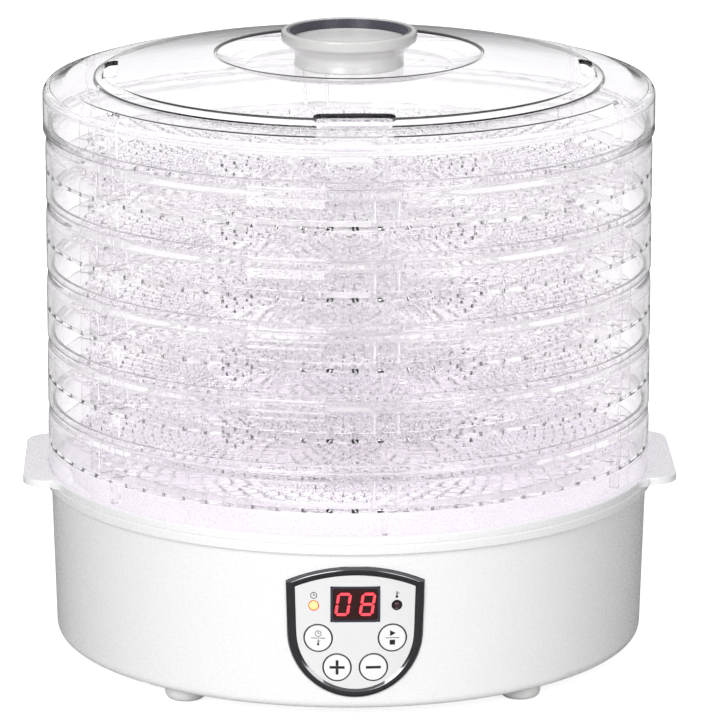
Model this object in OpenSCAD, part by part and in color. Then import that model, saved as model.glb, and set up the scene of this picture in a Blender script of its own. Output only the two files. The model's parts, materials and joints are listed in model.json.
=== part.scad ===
// Round food dehydrator: a heated fan base, five stacking trays and a domed lid.
// The stack's axis is Z, the control panel faces -Y, and the feet stand on z = 0.

/* [Trays] */
// Outer radius of a tray's skirt
tray_r = 162; // [158:0.5:164]
// Height that each tray adds to the stack
tray_pitch = 37.2; // [36:0.1:42]
// Wall thickness of the trays and the lid
wall = 2; // [1.6:0.1:2.2]
// Width of the bars in a tray's openwork floor
bar_w = 3; // [2:0.2:5]
// Number of spokes in a tray's floor
spokes = 16; // [8:2:24]
// Number of stacking pegs under each tray and the lid
pegs = 6; // [6:1:6]

/* [Lid] */
// Outer radius of the lid's wall
lid_r = 163.2; // [162.5:0.1:165]
// Radius of the lid's raised middle
lid_disc_r = 136; // [130:1:140]
// Radius of the dish round the knob
dish_r = 72; // [66:1:80]
// Outer radius of the knob
knob_r = 36.2; // [30:0.2:40]

/* [Base] */
// Outer radius of the base at its top rim
rim_r = 164.5; // [164:0.5:170]
// Reach of a carrying handle from the stack's axis
handle_x = 175; // [172:1:185]
// Length of a carrying handle
handle_len = 100; // [80:2:120]
// Height of the seat that the lowest tray stands on, from 4 mm below the base
seat_z = 94.4; // [94.4:0.1:96]
// Thickness of the base's plastic walls
shell_t = 2.8; // [2.4:0.1:3.2]
// How far the feet stand out below the base
foot_h = 8; // [6:0.5:10]

/* [Controls] */
// Half the width of the control panel at its top corners
panel_half = 36; // [34:0.5:38]
// Width of the panel's trim ring
bezel_w = 4.5; // [3.5:0.5:5]
// Radius of a button's cap
button_r = 6.8; // [6:0.1:7]
// How far a button travels inward
button_travel = 0.8; // [0.5:0.1:1]

/* [Air path] */
// Inner radius of the fan's duct
duct_r = 66; // [66:1:68]
// Outer radius of the fan's blades
fan_r = 61; // [54:1:62]
// Number of fan blades
blades = 7; // [5:1:9]

/* [Hidden] */
$fn = 96;
e = 0.01;
gap = 0.3;

// Stack: every tray stands on the ledge of the one below it
ledge_z = tray_pitch - gap;
neck_z = ledge_z + 3.8;
floor_top = 18;
floor_t = 2.2;
tray_z = [for (i = [0:4]) seat_z + gap + i * tray_pitch];
lid_z = tray_z[4] + tray_pitch;
peg_angle = 5.7;
peg_ring_r = 152;

// Lid, measured from its lower edge
lid_wall_h = 20;
lid_step_z = 26;
lid_edge_z = 28.2;
knob_seat_z = 33.3;
dish_rim_z = 40;
knob_top = 52;
vent_r = 126.8;
vent_half = 17.5;
vent_w = 7.2;

// Everything is drawn with the base's underside at under_z, then lifted onto the feet
under_z = 4;

// Base
shell_top = seat_z - 5.4;
shell_top_r = rim_r - 3.7;
shell_low_r = shell_top_r - 2.4;
corner_r = 5;
floor_z = under_z + shell_t;
lip_top = seat_z + 4;
hub_r = 76;
screw_ring_r = 135;
foot_ring_r = 140.5;
foot_angles = [51.2, 128.8, 231.2, 308.8];
intake_r = 62;

// Panel, laid out in X and Z
panel_mid_z = 46.2;
panel_low_r = panel_half - 1;
panel_top_z = 82;
panel_corner_z = 73.5;
panel_arc_r = (pow(panel_half, 2) + pow(panel_top_z - panel_corner_z, 2))
    / (2 * (panel_top_z - panel_corner_z));
button_hole_r = button_r + 0.4;
mode_at = [-19.2, 43.4];
start_at = [19.2, 43.4];
plus_at = [-9.4, 27.6];
minus_at = [9.4, 27.6];
led_at = [[-21.5, 61], [21.5, 61]];
led_r = 2.2;
display_at = [0, 61.8];
display_size = [25.6, 19.2];
board_y = -145;
board_t = 1.6;
cap_back_y = -154.4;
cap_flange_t = 1.4;
gland_z = 24;

// Motor and heater
motor_z = 20;
motor_h = 16;
shaft_r = 2.5;
bush_r = 5;
fan_z = 50;
coil_z = 75;

// ---------- shared shapes ----------

// A cylinder that lies along Y, from y0 to y1
module y_cylinder(r, y0, y1) {
    translate([0, y0, 0]) rotate([-90, 0, 0]) cylinder(r = r, h = y1 - y0);
}

// A round tube about Z
module tube(r_out, r_in, z0, z1) {
    translate([0, 0, z0]) difference() {
        cylinder(r = r_out, h = z1 - z0);
        translate([0, 0, -1]) cylinder(r = r_in, h = z1 - z0 + 2);
    }
}

// Lifts what is drawn from the base's underside up by what the feet add
module lifted() {
    translate([0, 0, foot_h - under_z]) children();
}

// Outer radius of the base's sloping wall at a height
function wall_r(z) = shell_low_r + (shell_top_r - shell_low_r)
    * (z - under_z - corner_r) / (shell_top - under_z - corner_r);

// A ring that follows the base's wall, from in to out of its outer face
module wall_band(in, out) {
    z0 = 5;
    z1 = 88;
    rotate_extrude() polygon([[wall_r(z0) + in, z0], [wall_r(z0) + out, z0],
        [wall_r(z1) + out, z1], [wall_r(z1) + in, z1]]);
}

// Outline of the shield-shaped control panel, inset by d
module shield(d) {
    intersection() {
        translate([0, panel_top_z - panel_arc_r]) circle(r = panel_arc_r - d);
        union() {
            translate([0, panel_mid_z]) circle(r = panel_low_r - d);
            polygon([[-panel_low_r + d, panel_mid_z], [panel_low_r - d, panel_mid_z],
                [panel_half - d, panel_top_z], [-panel_half + d, panel_top_z]]);
        }
    }
}

// The shield pushed through the front wall
module shield_block(d) {
    translate([0, -140, 0]) rotate([90, 0, 0]) linear_extrude(30) shield(d);
}

// ---------- base ----------

module shell_outline(t) {
    polygon([[0, under_z + corner_r], [shell_low_r - t, under_z + corner_r],
        [shell_top_r - t, shell_top], [0, shell_top]]);
    translate([0, under_z + t]) square([shell_low_r - corner_r, corner_r]);
    translate([shell_low_r - corner_r, under_z + corner_r]) circle(r = corner_r - t);
}

module base_shell() {
    color("white") lifted() difference() {
        union() {
            rotate_extrude() difference() {
                intersection() {
                    shell_outline(0);
                    square([200, 200]);
                }
                intersection() {
                    shell_outline(shell_t);
                    square([200, 200]);
                }
            }
            // Posts that carry the power board
            for (x = [-24, 24], y = [-18, 18])
                rotate([0, 0, 135]) translate([112 + y, x, floor_z - e])
                    cylinder(r = 3, h = 6 + e);
        }
        translate([0, 0, under_z - 1]) cylinder(r = intake_r, h = shell_t + 2);
        shield_block(-0.2);
        translate([0, 0, gland_z]) y_cylinder(7.1, 140, 170);
        for (a = [0:90:270]) rotate([0, 0, a]) {
            translate([screw_ring_r, 0, under_z - 1]) cylinder(r = 4.3, h = 2.6);
            translate([screw_ring_r, 0, under_z]) cylinder(r = 1.9, h = shell_t + 1);
        }
        for (a = foot_angles) rotate([0, 0, a])
            translate([foot_ring_r, 0, under_z - 1]) cylinder(r = 4.2, h = shell_t + 2);
    }
}

module base_deck() {
    color("whitesmoke") lifted() {
        difference() {
            union() {
                rotate_extrude() polygon([[duct_r - 6, 84], [duct_r + 6, 84], [hub_r + 2.5, 86],
                    [142, 85.5], [147, 88.5], [154.4, 88.5], [154.4, 82], [157, 82], [157, shell_top],
                    [rim_r, shell_top], [rim_r, lip_top - 1.6], [rim_r - 0.5, lip_top - 0.5],
                    [rim_r - 1, lip_top], [tray_r + 0.5, lip_top], [tray_r + 0.4, seat_z],
                    [151, seat_z], [146.5, 91.5], [141, 88.3], [hub_r + 1.4, 88.8],
                    [hub_r, 94], [hub_r - 3, 96], [hub_r - 6, 96], [hub_r - 6, 91.5],
                    [duct_r - 6, 91.5]]);
                deck_handles();
                for (i = [0:pegs - 1]) rotate([0, 0, peg_angle - 90 + i * 360 / pegs])
                    translate([151.5, -7, seat_z - e]) cube([6, 14, 1.4]);
                for (a = [0:90:270]) rotate([0, 0, a])
                    translate([screw_ring_r, 0, floor_z]) cylinder(r = 5, h = 80);
            }
            for (a = [0:90:270]) rotate([0, 0, a])
                translate([screw_ring_r, 0, floor_z - 1]) cylinder(r = 1.5, h = 24);
        }
    }
}

// The two carrying handles, flush with the rim
module deck_handles() {
    corner = 14;
    for (s = [-1, 1]) difference() {
        translate([0, 0, lip_top - 4.4]) linear_extrude(4.2) union() {
            translate([s > 0 ? 150 : -handle_x + corner, -handle_len / 2])
                square([handle_x - corner - 150, handle_len]);
            translate([s > 0 ? 150 : -handle_x, -handle_len / 2 + corner])
                square([handle_x - 150, handle_len - 2 * corner]);
            for (t = [-1, 1]) translate([s * (handle_x - corner), t * (handle_len / 2 - corner)])
                circle(r = corner);
        }
        cylinder(r = rim_r - 1, h = 120);
    }
}

module air_grille() {
    color("silver") lifted() difference() {
        union() {
            translate([0, 0, 91.6]) cylinder(r = hub_r - 6.2, h = 2.8);
            translate([0, 0, 94.4 - e]) cylinder(r1 = hub_r - 12, r2 = hub_r - 16, h = 1.6);
        }
        for (i = [0:35]) rotate([0, 0, i * 10]) translate([34, -1.6, 90]) cube([24, 3.2, 8]);
        for (i = [0:17]) rotate([0, 0, i * 20]) translate([14, -1.2, 90]) cube([16, 2.4, 8]);
    }
}

module intake_grille() {
    color("white") lifted() difference() {
        union() {
            translate([0, 0, under_z]) cylinder(r = intake_r - 0.2, h = shell_t + 1);
            translate([0, 0, floor_z]) cylinder(r = duct_r - 0.2, h = 1.6);
        }
        for (i = [0:23]) rotate([0, 0, i * 15]) translate([34, -2, 0]) cube([22, 4, 12]);
        for (i = [0:11]) rotate([0, 0, i * 30]) translate([14, -1.6, 0]) cube([14, 3.2, 12]);
    }
}

module fan_duct() {
    color("gainsboro") lifted() {
        tube(duct_r + 2.5, duct_r, floor_z, 84);
        // Ledges for the heater's frame
        for (a = [0:90:270]) rotate([0, 0, a]) translate([duct_r - 3, -5, 65])
            cube([4, 10, 3]);
    }
}

// ---------- fan and motor ----------

module motor_bracket() {
    color("lightsteelblue") lifted() difference() {
        union() {
            intersection() {
                translate([0, 0, floor_z + 1.6]) cylinder(r = duct_r - 0.4, h = 3);
                union() {
                    translate([-duct_r, -7, 0]) cube([2 * duct_r, 14, 20]);
                    translate([-7, -duct_r, 0]) cube([14, 2 * duct_r, 20]);
                    cylinder(r = 34, h = 20);
                }
            }
            for (x = [-19, 19], y = [-19, 19]) translate([x, y, floor_z + 1.6])
                cylinder(r = 3, h = motor_z - floor_z - 1.6);
        }
        cylinder(r = bush_r, h = 20);
    }
}

module motor_bridge() {
    color("lightsteelblue") lifted() difference() {
        union() {
            translate([-25, -7, 43]) cube([50, 14, 2.4]);
            for (x = [-21.5, 21.5]) translate([x, 0, motor_z + motor_h])
                cylinder(r = 3, h = 8);
            translate([0, 0, 41]) cylinder(r = 8, h = 6);
        }
        cylinder(r = bush_r, h = 60);
    }
}

module motor_stator() {
    color("slategray") lifted() difference() {
        translate([-25, -25, motor_z]) cube([50, 62, motor_h]);
        cylinder(r = 15, h = 60);
        translate([-15, 25, 0]) cube([30, 6, 60]);
    }
}

module motor_winding() {
    color("peru") lifted() difference() {
        translate([-14, 29.5, motor_z - 5]) cube([28, 9, motor_h + 10]);
        translate([-15, 31, motor_z]) cube([30, 6, motor_h]);
    }
}

module bearing_lower() {
    color("goldenrod") lifted() tube(bush_r, shaft_r + 0.05, floor_z + 1.6, 16);
}

module bearing_upper() {
    color("goldenrod") lifted() tube(bush_r, shaft_r + 0.05, 41, 47);
}

module motor_shaft() {
    color("silver") lifted() translate([0, 0, 10]) cylinder(r = shaft_r, h = 54);
}

module motor_rotor() {
    color("dimgray") lifted() tube(14.6, shaft_r, 17, 40.4);
}

module fan() {
    color("ivory") lifted() difference() {
        union() {
            translate([0, 0, fan_z]) cylinder(r = 17, h = 13);
            intersection() {
                for (i = [0:blades - 1]) rotate([0, 0, i * 360 / blades])
                    translate([0, 0, fan_z + 6.5]) rotate([32, 0, 0])
                        translate([14, -11, -1]) cube([fan_r, 22, 2]);
                translate([0, 0, fan_z - 4]) cylinder(r = fan_r, h = 22);
            }
        }
        cylinder(r = shaft_r, h = 100);
    }
}

// ---------- heater ----------

module heater_frame() {
    color("tan") lifted() difference() {
        intersection() {
            union() {
                translate([-duct_r, -0.8, 68]) cube([2 * duct_r, 1.6, 14]);
                translate([-0.8, -duct_r, 68]) cube([1.6, 2 * duct_r, 14]);
            }
            cylinder(r = duct_r - 0.3, h = 100);
        }
        for (r = [26, 39, 52]) translate([0, 0, coil_z]) rotate_extrude()
            translate([r, 0]) circle(r = 1.6, $fn = 24);
    }
}

module heater_coil() {
    color("darkorange") lifted() {
        for (r = [26, 39, 52]) translate([0, 0, coil_z]) rotate_extrude()
            translate([r, 0]) circle(r = 1.3, $fn = 24);
        // Link between the turns, beside the frame's plate
        translate([26, 3, coil_z]) rotate([0, 90, 0]) cylinder(r = 0.9, h = 26);
    }
}

module thermostat() {
    color("black") lifted() rotate([0, 0, 45]) {
        translate([duct_r + 2.5, 0, 74]) rotate([0, 90, 0]) cylinder(r = 8, h = 5);
        translate([duct_r + 7, 0, 74]) rotate([0, 90, 0]) cylinder(r = 4, h = 3);
    }
}

module thermal_fuse() {
    color("silver") lifted() rotate([0, 0, 20]) {
        translate([duct_r + 4.6, -7, 74]) rotate([-90, 0, 0]) cylinder(r = 2.1, h = 14);
    }
}

// ---------- electronics ----------

module power_board() {
    color("seagreen") lifted() rotate([0, 0, 135]) translate([112 - 24, -31, floor_z + 6])
        cube([48, 62, board_t]);
}

module transformer() {
    color("gold") lifted() rotate([0, 0, 135]) translate([112 - 20, -28, floor_z + 6 + board_t])
        cube([30, 26, 24]);
}

module relay() {
    color("royalblue") lifted() rotate([0, 0, 135]) translate([112 - 18, 6, floor_z + 6 + board_t])
        cube([16, 19, 15]);
}

module capacitor() {
    color("navy") lifted() rotate([0, 0, 135]) translate([112 + 10, 12, floor_z + 6 + board_t])
        cylinder(r = 6, h = 20);
}

// A run of round wire through a list of points, with a bead over each bend
module wire(path, r) {
    for (i = [0:len(path) - 2]) {
        d = path[i + 1] - path[i];
        translate(path[i]) rotate([0, acos(d[2] / norm(d)), atan2(d[1], d[0])])
            cylinder(r = r, h = norm(d), $fn = 24);
        if (i > 0) translate(path[i]) sphere(r = r * 1.15, $fn = 24);
    }
}

module supply_lead() {
    color("dimgray") lifted() wire([[0, 152, gland_z], [0, 144, gland_z], [-12, 137, 20],
        [-30, 128, 17], [-75.7, 106.8, 16.4]], 1.8);
}

module ribbon_cable() {
    h = 10;
    z0 = floor_z + 1.4;
    color("lightgray") lifted() {
        translate([-78, -60, z0]) cube([1.2, 96, h]);
        translate([-78, -60, z0]) cube([18, 1.2, h]);
        translate([-61.2, -125, z0]) cube([1.2, 66.2, h]);
        translate([-61.2, -125, z0]) cube([34.4, 1.2, h]);
        translate([-28, board_y + board_t, z0]) cube([1.2, 19.6, h]);
        translate([-30, board_y + board_t, z0 + h - 1]) cube([5, 1, 8]);
    }
}

module control_board() {
    color("seagreen") lifted() translate([-31, board_y, 16]) cube([62, board_t, 58]);
}

module display_module() {
    color("dimgray") lifted() translate([display_at[0] - 12.4, board_y - 9, display_at[1] - 9.2])
        cube([24.8, 9, 18.4]);
}

module display_window() {
    color("darkred") lifted() intersection() {
        translate([display_at[0] - display_size[0] / 2, -170, display_at[1] - display_size[1] / 2])
            cube([display_size[0], 30, display_size[1]]);
        wall_band(-2, 0.8);
    }
}

module led(i) {
    translate([led_at[i][0], 0, led_at[i][1]]) {
        y_cylinder(led_r, -157.6, board_y);
        translate([0, -157.6, 0]) sphere(r = led_r, $fn = 32);
        y_cylinder(led_r + 0.5, board_y - 3, board_y);
    }
}

module led_time() { color("orange") lifted() led(0); }
module led_temp() { color("black") lifted() led(1); }

module faceplate() {
    color("gainsboro") lifted() {
        difference() {
            intersection() {
                shield_block(bezel_w + 0.05);
                wall_band(-2, 0.9);
            }
            for (p = [mode_at, start_at, plus_at, minus_at]) translate([p[0], 0, p[1]])
                y_cylinder(button_hole_r, -170, -140);
            for (p = led_at) translate([p[0], 0, p[1]]) y_cylinder(led_r + 0.15, -170, -140);
            translate([display_at[0] - display_size[0] / 2 - 0.1, -170,
                display_at[1] - display_size[1] / 2 - 0.1])
                cube([display_size[0] + 0.2, 30, display_size[1] + 0.2]);
        }
        // Posts that carry the control board
        for (p = [[-27.5, 53], [27.5, 53], [0, 17.8]]) translate([p[0], 0, p[1]])
            y_cylinder(1.6, -157, board_y);
    }
}

module bezel() {
    color("lightgray") lifted() intersection() {
        difference() {
            shield_block(0);
            shield_block(bezel_w);
        }
        wall_band(-2.6, 2.2);
    }
}

module button(p) {
    color("white") lifted() translate([p[0], 0, p[1]]) {
        intersection() {
            y_cylinder(button_r, -170, cap_back_y + 0.1);
            translate([-p[0], 0, -p[1]]) wall_band(-8, 1.2);
        }
        y_cylinder(button_r + 1.4, cap_back_y, cap_back_y + cap_flange_t);
        y_cylinder(1.8, cap_back_y, board_y - 4 - button_travel - gap);
    }
}

module button_mode() { button(mode_at); }
module button_start() { button(start_at); }
module button_plus() { button(plus_at); }
module button_minus() { button(minus_at); }

module tact_switch(p) {
    color("black") lifted() translate([p[0], 0, p[1]]) {
        translate([-3, board_y - 3.2, -3]) cube([6, 3.2, 6]);
        y_cylinder(1.7, board_y - 4, board_y - 3.1);
    }
}

module switch_mode() { tact_switch(mode_at); }
module switch_start() { tact_switch(start_at); }
module switch_plus() { tact_switch(plus_at); }
module switch_minus() { tact_switch(minus_at); }

module cord_gland() {
    r0 = wall_r(gland_z);
    color("dimgray") lifted() translate([0, 0, gland_z]) difference() {
        union() {
            y_cylinder(7, r0 - 8, r0 + 1);
            y_cylinder(9.5, r0 + 0.3, r0 + 4);
            y_cylinder(9.5, r0 - 8, r0 - 3.4);
        }
        y_cylinder(3.6, 140, 180);
    }
}

// ---------- feet and screws ----------

module foot(n) {
    z = under_z - foot_h;
    color("whitesmoke") lifted() rotate([0, 0, foot_angles[n - 1]]) translate([foot_ring_r, 0, 0]) {
        rotate_extrude() polygon([[0, z], [7.6, z], [9.2, z + 0.8], [10.3, z + 2.2], [10.9, z + 4],
            [11, z + 5.4], [11, under_z], [0, under_z]]);
        translate([0, 0, under_z - 1]) cylinder(r = 4, h = shell_t + 2);
        translate([0, 0, floor_z]) cylinder(r = 5.4, h = 1.6);
    }
}

module foot_1() { foot(1); }
module foot_2() { foot(2); }
module foot_3() { foot(3); }
module foot_4() { foot(4); }

module screw(a) {
    color("silver") lifted() rotate([0, 0, a]) translate([screw_ring_r, 0, 0]) difference() {
        union() {
            translate([0, 0, under_z + 0.1]) cylinder(r = 4, h = 1.5);
            translate([0, 0, under_z + 1]) cylinder(r = 1.5, h = 20);
        }
        translate([-2.6, -0.5, under_z]) cube([5.2, 1, 0.9]);
        translate([-0.5, -2.6, under_z]) cube([1, 5.2, 0.9]);
    }
}

module screw_1() { screw(0); }
module screw_2() { screw(90); }
module screw_3() { screw(180); }
module screw_4() { screw(270); }

// ---------- trays ----------

module peg_places() {
    for (i = [0:pegs - 1]) rotate([0, 0, peg_angle - 90 + i * 360 / pegs]) children();
}

// A peg that hangs from z_top, with gussets at its root
module peg(z_top) {
    translate([peg_ring_r - 2, -1.5, 2]) cube([5, 3, z_top - 2 + e]);
    translate([peg_ring_r + 1.2, 0, z_top]) rotate([90, 0, -90]) linear_extrude(1.4)
        polygon([[-6, e], [6, e], [1, -7], [-1, -7]]);
}

module tray() {
    rotate_extrude() polygon([[tray_r - wall, 0], [tray_r, 0], [tray_r, 28.5],
        [tray_r - 0.25, 31.2], [tray_r - 0.7, 34], [tray_r - 1.1, ledge_z],
        [tray_r - 2.4, ledge_z], [tray_r - 2.4, neck_z], [tray_r - 2.4 - wall, neck_z],
        [tray_r - 2.4 - wall, 35], [tray_r - 0.7 - wall, 31.5], [tray_r - wall, 27]]);
    translate([0, 0, floor_top - floor_t]) linear_extrude(floor_t) tray_floor();
    peg_places() {
        peg(floor_top - floor_t);
        for (s = [-1, 1]) translate([0, s * 6.2 - 1, floor_top - e]) {
            translate([148.5, 0, 0]) cube([9.4, 2, 12]);
            translate([150.5, 0, 0]) cube([6.2, 2, neck_z - floor_top]);
        }
    }
}

// Openwork floor: rings joined by spokes, inside a solid rim
module tray_floor() {
    difference() {
        circle(r = tray_r - wall + e);
        for (i = [0:5]) difference() {
            circle(r = 149 - i * 22);
            circle(r = 149 - (i + 1) * 22 + bar_w);
            for (k = [0:spokes - 1]) rotate(k * 360 / spokes)
                translate([0, -bar_w / 2]) square([tray_r, bar_w]);
        }
    }
}

module place_tray(k) {
    color([0.86, 0.9, 0.95, 0.5]) lifted() translate([0, 0, tray_z[5 - k]]) tray();
}

module tray_1() { place_tray(1); }
module tray_2() { place_tray(2); }
module tray_3() { place_tray(3); }
module tray_4() { place_tray(4); }
module tray_5() { place_tray(5); }

// ---------- lid ----------

module lid() {
    t = wall;
    color([0.86, 0.9, 0.95, 0.5]) lifted() translate([0, 0, lid_z]) {
        difference() {
            rotate_extrude() polygon([[lid_r - 2.8, 0], [lid_r, 0], [lid_r, lid_wall_h],
                [lid_r - 1, lid_wall_h + 2.2], [152.5, lid_step_z - 0.6], [150.5, lid_step_z],
                [lid_disc_r, lid_step_z + 0.4], [lid_disc_r, lid_edge_z],
                [dish_r, dish_rim_z], [dish_r - 1, dish_rim_z], [62, knob_seat_z + 2.5],
                [55, knob_seat_z], [0, knob_seat_z], [0, knob_seat_z - t],
                [55.6, knob_seat_z - t], [63.2, knob_seat_z + 0.4], [dish_r - 0.6, dish_rim_z - 2.6],
                [lid_disc_r - t, lid_edge_z - t], [lid_disc_r - t, lid_step_z + 0.5 - t],
                [150, lid_step_z - t], [lid_r - 3.8, lid_wall_h + 0.4], [lid_r - 2.2, lid_wall_h - 2],
                [lid_r - 2.2, 5]]);
            for (a = [0:90:270]) rotate([0, 0, a]) translate([0, 0, 20]) vent_slot();
            translate([0, 0, knob_seat_z - t - 1]) cylinder(r = 2.2, h = t + 2);
        }
        peg_places() peg(lid_wall_h + 4.3);
    }
}

// One rounded air slot near the edge of the raised middle
module vent_slot() {
    linear_extrude(30) {
        translate([-vent_half, -vent_r - vent_w / 2]) square([2 * vent_half, vent_w]);
        for (s = [-1, 1]) translate([s * vent_half, -vent_r]) circle(d = vent_w, $fn = 32);
    }
}

module knob() {
    z0 = lid_z + knob_seat_z;
    z1 = lid_z + knob_top;
    color("ivory") lifted() rotate_extrude() polygon([[5, z0], [29.5, z0], [29, z0 + 3], [29, z1 - 13],
        [29.8, z1 - 11], [31.4, z1 - 9.4], [knob_r - 2.8, z1 - 7.6], [knob_r - 1, z1 - 6.2],
        [knob_r, z1 - 5.2], [knob_r, z1 - 1.4], [knob_r - 0.4, z1 - 0.4], [knob_r - 1.3, z1],
        [knob_r - 2.9, z1], [knob_r - 2.9, z1 - 5.4], [knob_r - 5.3, z1 - 5.4],
        [knob_r - 5.3, z1 - 8], [26, z1 - 8], [26, z0 + 2.4], [5, z0 + 2.4]]);
}

module knob_insert() {
    z1 = lid_z + knob_top;
    color("black") lifted() tube(knob_r - 2.9, knob_r - 4.6, z1 - 5.4, z1 - 0.6);
}

module knob_cap() {
    z0 = lid_z + knob_seat_z;
    z1 = lid_z + knob_top;
    color("white") lifted() difference() {
        union() {
            rotate_extrude() polygon([[0, z1 - 8], [knob_r - 5.4, z1 - 8], [knob_r - 5.4, z1 - 6.6],
                [knob_r - 6.2, z1 - 6], [0, z1 - 5.8]]);
            translate([0, 0, z0]) cylinder(r = 4.9, h = z1 - z0 - 7.9);
        }
        translate([0, 0, z0 - 1]) cylinder(r = 1.6, h = 6.5);
    }
}

module knob_screw() {
    z0 = lid_z + knob_seat_z;
    color("silver") lifted() {
        translate([0, 0, z0 - wall - 2]) cylinder(r = 4.4, h = 2);
        translate([0, 0, z0 - wall - 1]) cylinder(r = 1.6, h = wall + 5.5);
    }
}

base_shell();
base_deck();
air_grille();
intake_grille();
fan_duct();
motor_bracket();
motor_bridge();
motor_stator();
motor_winding();
bearing_lower();
bearing_upper();
motor_shaft();
motor_rotor();
fan();
heater_frame();
heater_coil();
thermostat();
thermal_fuse();
power_board();
transformer();
relay();
capacitor();
supply_lead();
ribbon_cable();
control_board();
display_module();
display_window();
led_time();
led_temp();
bezel();
faceplate();
button_mode();
button_start();
button_plus();
button_minus();
switch_mode();
switch_start();
switch_plus();
switch_minus();
cord_gland();
foot_1();
foot_2();
foot_3();
foot_4();
screw_1();
screw_2();
screw_3();
screw_4();
tray_1();
tray_2();
tray_3();
tray_4();
tray_5();
lid();
knob();
knob_insert();
knob_cap();
knob_screw();
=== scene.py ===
import json
import math

import bmesh
import bpy
from mathutils import Matrix, Vector


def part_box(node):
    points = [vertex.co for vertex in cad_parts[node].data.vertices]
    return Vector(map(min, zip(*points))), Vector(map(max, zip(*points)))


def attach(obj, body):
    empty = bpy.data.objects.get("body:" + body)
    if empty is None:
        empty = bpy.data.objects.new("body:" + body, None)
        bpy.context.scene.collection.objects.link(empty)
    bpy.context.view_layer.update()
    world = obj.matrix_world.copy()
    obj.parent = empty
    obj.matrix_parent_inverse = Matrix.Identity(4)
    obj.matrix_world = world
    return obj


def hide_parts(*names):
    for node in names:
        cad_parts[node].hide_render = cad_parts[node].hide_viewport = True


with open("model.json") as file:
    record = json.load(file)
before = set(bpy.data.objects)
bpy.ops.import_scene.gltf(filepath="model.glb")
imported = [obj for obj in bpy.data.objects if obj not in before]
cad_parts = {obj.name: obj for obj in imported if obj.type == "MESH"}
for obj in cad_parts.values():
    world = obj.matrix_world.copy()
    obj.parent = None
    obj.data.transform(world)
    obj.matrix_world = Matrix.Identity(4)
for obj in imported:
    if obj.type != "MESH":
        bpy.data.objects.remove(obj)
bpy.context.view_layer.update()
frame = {"nodes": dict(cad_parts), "record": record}

MM = 0.001
TRAYS = ["tray_5", "tray_4", "tray_3", "tray_2", "tray_1"]
BUTTONS = ["button_mode", "button_start", "button_plus", "button_minus"]


# ---------- camera, first because everything is framed by it ----------

CAMERA_DISTANCE = 3.0
CAMERA_TURN = math.radians(-1.4)
CAMERA_HEIGHT = 0.9105
CAMERA_PITCH = math.radians(14.128)
CAMERA_ROLL = math.radians(0.1)
CAMERA_LENS = 286.82
CAMERA_SIDE = 0.0061


def make_camera():
    """A long lens from slightly above, a little to the left of the panel."""
    data = bpy.data.cameras.new("camera")
    data.lens = CAMERA_LENS
    data.sensor_width = 36.0
    data.clip_end = 50.0
    camera = bpy.data.objects.new("camera", data)
    bpy.context.collection.objects.link(camera)
    turn = Matrix.Rotation(CAMERA_TURN, 4, "Z")
    place = Matrix.Translation((CAMERA_SIDE, -CAMERA_DISTANCE, CAMERA_HEIGHT))
    tilt = Matrix.Rotation(math.pi / 2 - CAMERA_PITCH, 4, "X")
    roll = Matrix.Rotation(CAMERA_ROLL, 4, "Z")
    camera.matrix_world = turn @ place @ tilt @ roll
    bpy.context.scene.camera = camera


# ---------- outlines ----------

def rounded(corners, steps=5, closed=True):
    """The outline through corners (x, y, radius), each rounded by an arc of its radius."""
    count = len(corners)
    outline = []
    for i, (x, y, radius) in enumerate(corners):
        here = Vector((x, y))
        if radius <= 0 or (not closed and i in (0, count - 1)):
            outline.append((x, y))
            continue
        before = (Vector(corners[i - 1][:2]) - here).normalized()
        after = (Vector(corners[(i + 1) % count][:2]) - here).normalized()
        half = before.angle(after) / 2
        if half > math.pi / 2 - 0.01:
            outline.append((x, y))
            continue
        reach = min(radius / math.tan(half), (Vector(corners[i - 1][:2]) - here).length * 0.49,
                    (Vector(corners[(i + 1) % count][:2]) - here).length * 0.49)
        centre = here + (before + after).normalized() * reach / math.cos(half)
        start = here + before * reach - centre
        sweep = start.angle_signed(here + after * reach - centre)
        for k in range(steps + 1):
            turned = Matrix.Rotation(-sweep * k / steps, 2) @ start
            outline.append(tuple(centre + turned))
    return outline


def inset(points, distance):
    """The outline moved inwards by distance, corners mitred. The outline runs anticlockwise."""
    count = len(points)
    moved = []
    for i in range(count):
        a, b, c = (Vector(points[(i + k) % count]) for k in (-1, 0, 1))
        first = (b - a).normalized()
        second = (c - b).normalized()
        normal = Vector((-first.y - second.y, first.x + second.x)).normalized()
        moved.append(tuple(b + normal * distance / max(0.2, normal.dot(Vector((-first.y, first.x))))))
    return moved


def circle(centre, radius, count=48):
    """An anticlockwise circle."""
    return [(centre[0] + radius * math.cos(2 * math.pi * k / count),
             centre[1] + radius * math.sin(2 * math.pi * k / count)) for k in range(count)]


# ---------- meshes ----------

SHARP = 35.0


def settle_normals(piece):
    """Shades rounded edges by the large faces beside them, so that long flat faces look flat."""
    piece.modifiers.new("normals", "WEIGHTED_NORMAL").keep_sharp = True
    bake(piece)


def bake(piece):
    """Replaces a piece's mesh by what its modifiers make of it."""
    bpy.context.view_layer.update()
    made = bpy.data.meshes.new_from_object(piece.evaluated_get(bpy.context.evaluated_depsgraph_get()))
    piece.modifiers.clear()
    piece.data = made
    return made


def finish_mesh(name, bm, sharp=SHARP, settle=True):
    """A linked object from a bmesh in millimetres, smooth but for edges sharper than an angle."""
    bmesh.ops.recalc_face_normals(bm, faces=bm.faces)
    bmesh.ops.scale(bm, vec=(MM, MM, MM), verts=bm.verts)
    mesh = bpy.data.meshes.new(name)
    bm.to_mesh(mesh)
    bm.free()
    mesh.shade_smooth()
    mesh.set_sharp_from_angle(angle=math.radians(sharp))
    piece = bpy.data.objects.new(name, mesh)
    bpy.context.collection.objects.link(piece)
    if settle:
        settle_normals(piece)
    return piece


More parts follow.
